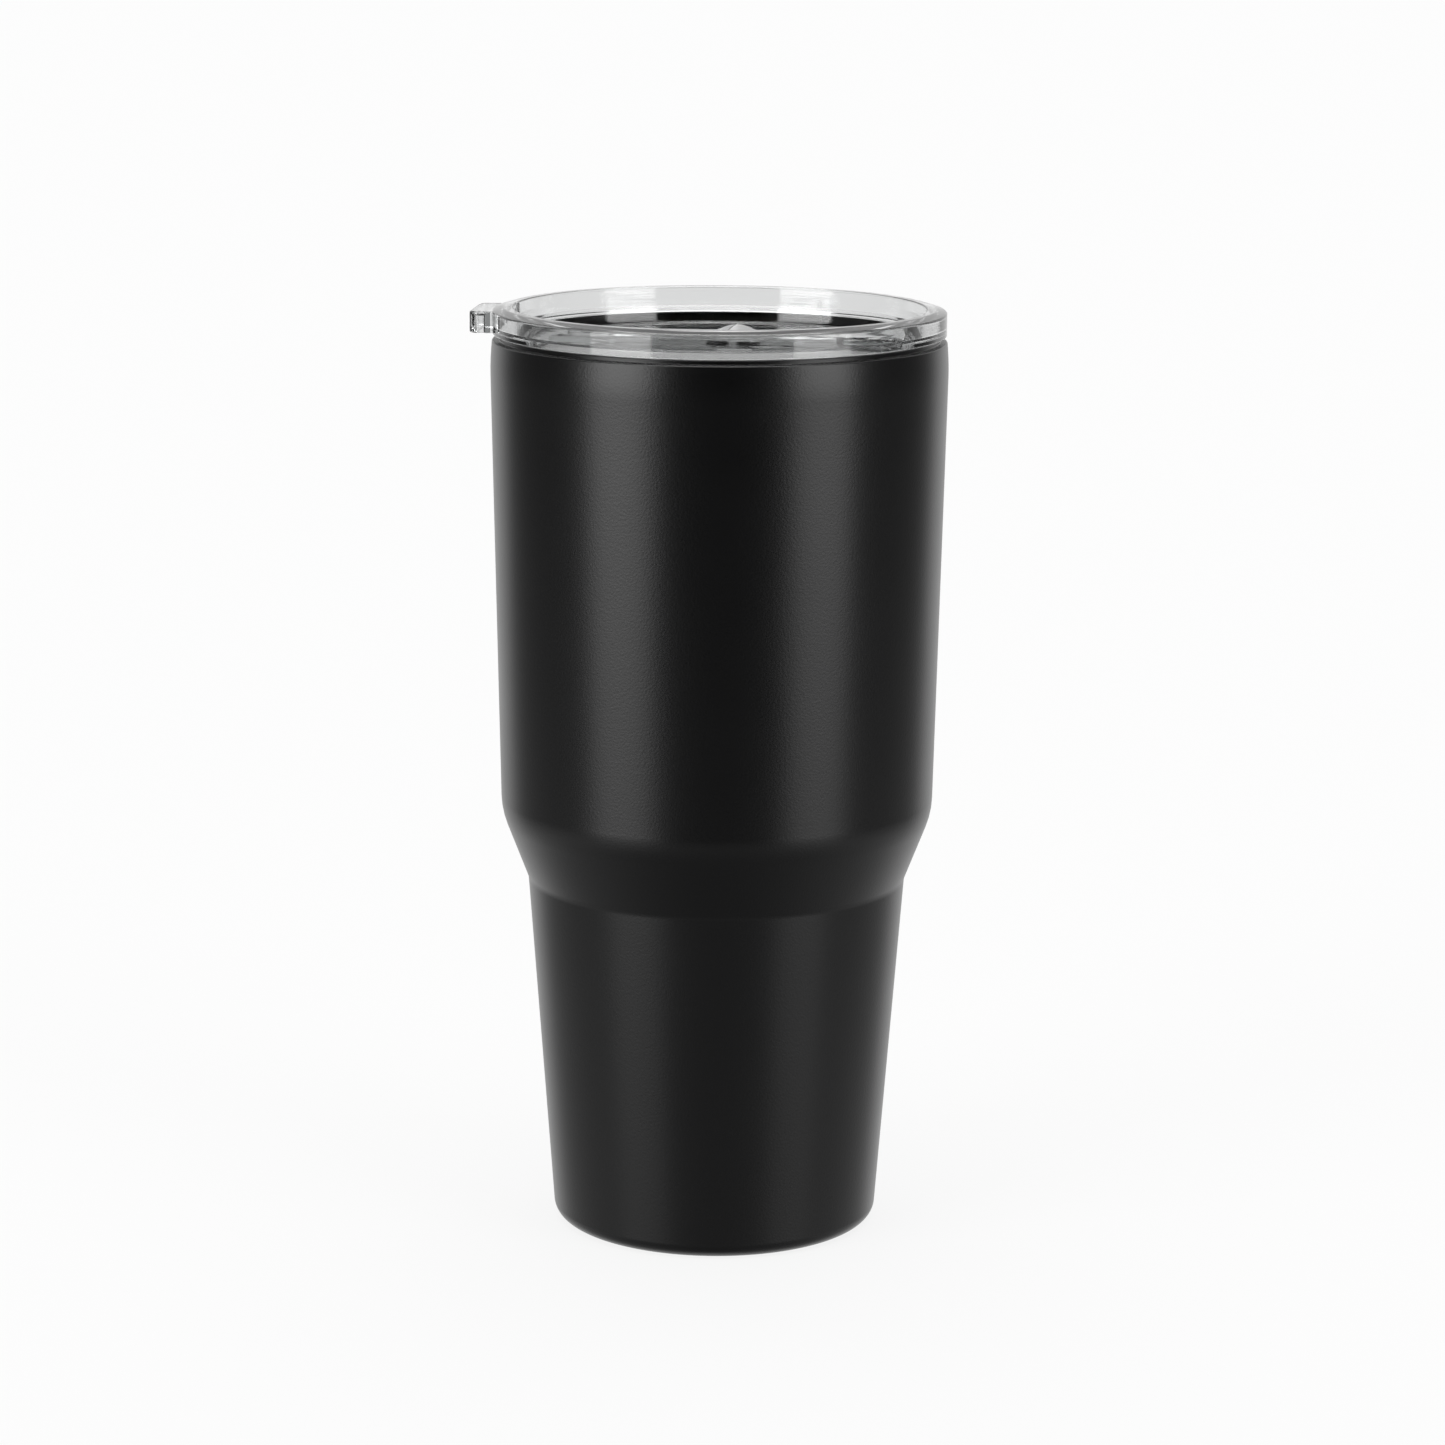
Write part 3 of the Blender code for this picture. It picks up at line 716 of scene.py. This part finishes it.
# the surround's brightness by angle from the front, in degrees
WALL_LEVELS = [
    (0, 0.0), (37, 0.0), (78, 0.1), (104, 0.1), (120, 0.12), (131, 0.25), (142, 0.88), (180, 0.88),
]
TABLE_LEVELS = [(0, 0.32), (78, 0.5), (101, 0.55), (120, 0.64), (136, 0.8), (180, 0.9)]
# the table's share by elevation, in degrees
TABLE_SHARES = [
    (-90, 0.5), (-40, 0.6), (-26, 0.97), (-20, 0.65), (-14.5, 0.3), (-12, 0.12), (-8, 0.0), (90, 0.0),
]
# a softbox's brightness by elevation, and its gain and its sides' angles from the front
SOFTBOX_LEVEL, SOFTBOX_EDGE = 4.2, 1.5
SOFTBOX_SHARES = [
    (-90, 0.0), (-35, 0.0), (-26, 0.03), (-23, 0.07), (-14.5, 0.25), (-10, 0.48),
    (-5.0, 1.0), (42, 1.0), (45, 0.0), (90, 0.0),
]
SOFTBOXES = [(1.0, -67.5, -34.5), (0.78, 37.5, 69)]
CEILING_LEVEL = 3.0
CEILING_SHARES = [(-90, 0.0), (54, 0.0), (62, 1.0), (90, 1.0)]


def make_floor():
    """A plain white floor, lit mostly by its own glow so that it fades into the surround."""
    floor = plate("floor", [(-4, -4), (4, -4), (4, 12), (-4, 12)], -0.02, 0)
    s = Shader("floor_white", Base_Color=(*[FLOOR_DIFFUSE] * 3, 1), Roughness=1.0)
    s.principled.inputs["Specular IOR Level"].default_value = 0
    s.principled.inputs["Emission Color"].default_value = (1, 1, 1, 1)
    s.principled.inputs["Emission Strength"].default_value = FLOOR_GLOW
    floor.data.materials.append(s.material)
    floor.visible_glossy = False
    floor.visible_transmission = False
    floor.visible_shadow = False


class WorldShader(NodeTree):
    """The surround's node tree."""

    def __init__(self, name):
        world = bpy.data.worlds.new(name)
        bpy.context.scene.world = world
        world.use_nodes = True
        super().__init__(world.node_tree)
        self.background = self.tree.nodes["Background"]
        self.background.inputs["Color"].default_value = (1, 1, 1, 1)

    def mixed(self, share, first, second):
        """first where share is 0, second where it is 1."""
        rest = self.maths("SUBTRACT", 1.0, share)
        first_part = self.maths("MULTIPLY", rest, first)
        second_part = self.maths("MULTIPLY", share, second)
        return self.maths("ADD", first_part, second_part)

    def step(self, value, start, end):
        """Rises smoothly from 0 at start to 1 at end."""
        node = self.add("ShaderNodeMapRange", interpolation_type="SMOOTHSTEP")
        node.inputs["From Min"].default_value = start
        node.inputs["From Max"].default_value = end
        self.link(value, node.inputs["Value"])
        return node.outputs["Result"]


def elevation_place(degrees):
    """Where an elevation falls on a ramp from straight down to straight up."""
    return 0.5 + 0.5 * math.sin(math.radians(degrees))


def azimuth_place(degrees):
    """Where an angle from the front falls on a ramp from the front to the back."""
    return 0.5 - 0.5 * math.cos(math.radians(degrees))


def make_surround():
    """White to look at, and a studio in reflections: softboxes in front, a bright wall behind."""
    s = WorldShader("studio_surround")
    direction = s.add("ShaderNodeTexCoord").outputs["Generated"]
    turned = s.add("ShaderNodeMapping")
    turned.inputs["Rotation"].default_value = (0, 0, -math.radians(CAMERA_AZIMUTH))
    s.link(direction, turned.inputs["Vector"])
    x, y, z = s.axes(turned.outputs["Vector"])
    across = s.maths("POWER", s.maths("SUBTRACT", 1.0, s.maths("MULTIPLY", z, z)), 0.5)
    behind = s.maths("DIVIDE", y, s.maths("MAXIMUM", across, 0.001))
    around = s.maths("ADD", s.maths("MULTIPLY", behind, 0.5), 0.5)
    height = s.maths("ADD", s.maths("MULTIPLY", z, 0.5), 0.5)
    azimuth = s.maths("ARCTAN2", x, s.maths("MULTIPLY", y, -1.0))

    def at(place, stops):
        return [(place(angle), level) for angle, level in stops]

    walls = s.ramp(around, at(azimuth_place, WALL_LEVELS))
    table = s.ramp(around, at(azimuth_place, TABLE_LEVELS))
    table_share = s.ramp(height, at(elevation_place, TABLE_SHARES))
    studio = s.mixed(table_share, walls, table)
    box_level = s.maths("MULTIPLY", s.ramp(height, at(elevation_place, SOFTBOX_SHARES)), SOFTBOX_LEVEL)
    for gain, start, end in SOFTBOXES:
        past_start, past_end = [
            s.step(azimuth, math.radians(side - SOFTBOX_EDGE), math.radians(side + SOFTBOX_EDGE))
            for side in (start, end)
        ]
        lit = s.maths("MULTIPLY", s.maths("SUBTRACT", past_start, past_end), gain)
        studio = s.maths("ADD", studio, s.maths("MULTIPLY", lit, box_level))
    ceiling = s.maths("MULTIPLY", s.ramp(height, at(elevation_place, CEILING_SHARES)), CEILING_LEVEL)
    studio = s.maths("ADD", studio, ceiling)
    path = s.add("ShaderNodeLightPath")
    clear = s.mixed(path.outputs["Is Transmission Ray"], 1.0, THROUGH_LEVEL)
    studio = s.maths("MULTIPLY", studio, clear)
    strength = s.mixed(path.outputs["Is Camera Ray"], studio, WHITE_LEVEL)
    s.link(strength, s.background.inputs["Strength"])


def make_camera():
    camera = bpy.data.cameras.new("camera")
    camera.lens = CAMERA_LENS
    camera.sensor_width = 36
    camera.clip_start = 0.05
    obj = bpy.data.objects.new("camera", camera)
    bpy.context.scene.collection.objects.link(obj)
    azimuth = math.radians(CAMERA_AZIMUTH)
    obj.location = (
        CAMERA_DISTANCE * math.sin(azimuth), -CAMERA_DISTANCE * math.cos(azimuth), CAMERA_HEIGHT
    )
    heading = Matrix.Rotation(azimuth - math.radians(CAMERA_YAW), 4, "Z")
    tilt = Matrix.Rotation(math.radians(90 - CAMERA_PITCH), 4, "X")
    roll = Matrix.Rotation(math.radians(CAMERA_ROLL), 4, "Z")
    obj.rotation_mode = "QUATERNION"
    obj.rotation_quaternion = (heading @ tilt @ roll).to_quaternion()
    bpy.context.scene.camera = obj


make_camera()
make_floor()
make_surround()
bpy.context.scene.view_settings.view_transform = "Standard"

make_shell()
make_liner()
make_base_cap()
make_lid()
make_gasket()
make_slider()
dress_hidden_parts()
